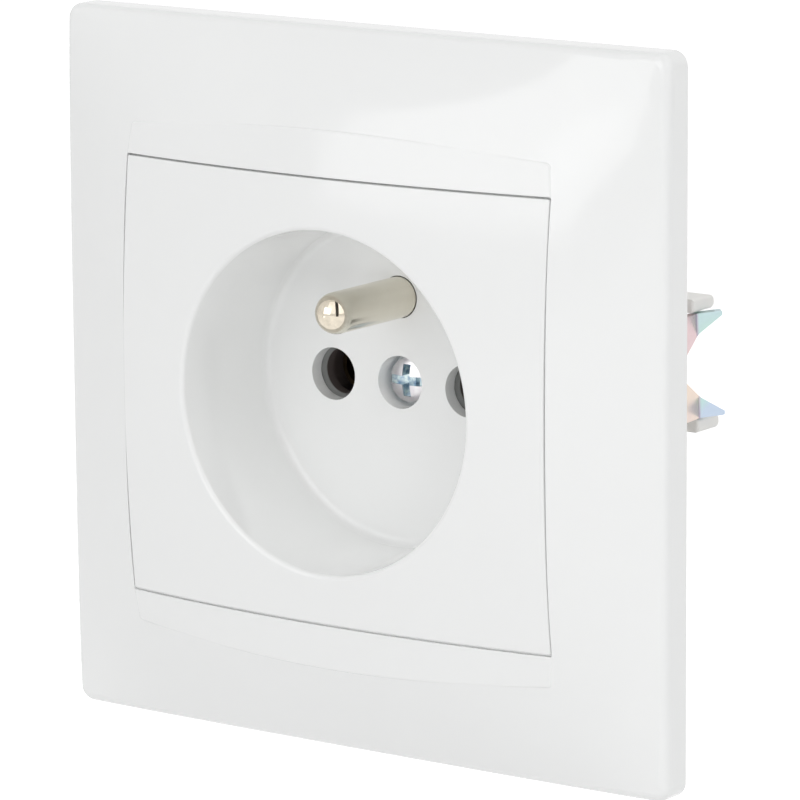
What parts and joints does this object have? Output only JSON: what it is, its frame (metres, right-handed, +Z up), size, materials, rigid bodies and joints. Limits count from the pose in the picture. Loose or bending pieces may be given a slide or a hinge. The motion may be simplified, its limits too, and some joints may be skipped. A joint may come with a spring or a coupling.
{
  "type": "wall socket",
  "caption": "Flush mains wall socket with a round plug recess, standing earth pin, domed square cover frame and folding claws that hold it in a wall box.",
  "frame": {"origin": "on the axis of the plug recess, in the plane of the wall, midway between the box screw slots", "axes": "-Y out of the wall towards the room, along the earth pin; +X to the right as seen from the room, +Z up, towards the earth pin's side"},
  "size_m": [0.084, 0.0432, 0.084],
  "materials": {
    "white_plastic": "gloss",
    "housing_plastic": "satin",
    "cover_plastic": "matt",
    "nickel_plating": "satin nickel",
    "zinc_screw": "bright zinc",
    "zinc_sheet": "bright zinc",
    "claw_zinc": "iridescent zinc passivation",
    "spring_steel": "bright",
    "contact_brass": "satin"
  },
  "bodies": {
    "socket": {"outer_frame": "white_plastic", "centre_plate": "white_plastic", "cover_screw": "zinc_screw", "cover_screw_insert": "contact_brass", "earth_pin": "nickel_plating", "earth_strap": "contact_brass", "support_plate": "zinc_sheet", "mechanism_base": "housing_plastic", "contact_cover": "cover_plastic", "left_contact": "contact_brass", "right_contact": "contact_brass", "left_contact_spring": "spring_steel", "right_contact_spring": "spring_steel", "line_clamp": "zinc_sheet", "neutral_clamp": "zinc_sheet", "earth_clamp": "zinc_sheet", "line_terminal_screw": "zinc_screw", "neutral_terminal_screw": "zinc_screw", "earth_terminal_screw": "zinc_screw", "right_claw_screw": "zinc_screw", "left_claw_screw": "zinc_screw", "top_left_plate_rivet": "zinc_screw", "top_right_plate_rivet": "zinc_screw", "bottom_left_plate_rivet": "zinc_screw", "bottom_right_plate_rivet": "zinc_screw"},
    "left_claw": {"left_claw": "claw_zinc"},
    "right_claw": {"right_claw": "claw_zinc"}
  },
  "joints": [
    {"name": "left_claw_hinge", "type": "hinge", "parent": "socket", "child": "left_claw", "pos_m": [-0.0218, 0.01, 0.001], "axis": [0, 0, 1], "range_deg": [0, 14]},
    {"name": "right_claw_hinge", "type": "hinge", "parent": "socket", "child": "right_claw", "pos_m": [0.0218, 0.01, 0.001], "axis": [0, 0, -1], "range_deg": [0, 14]}
  ]
}
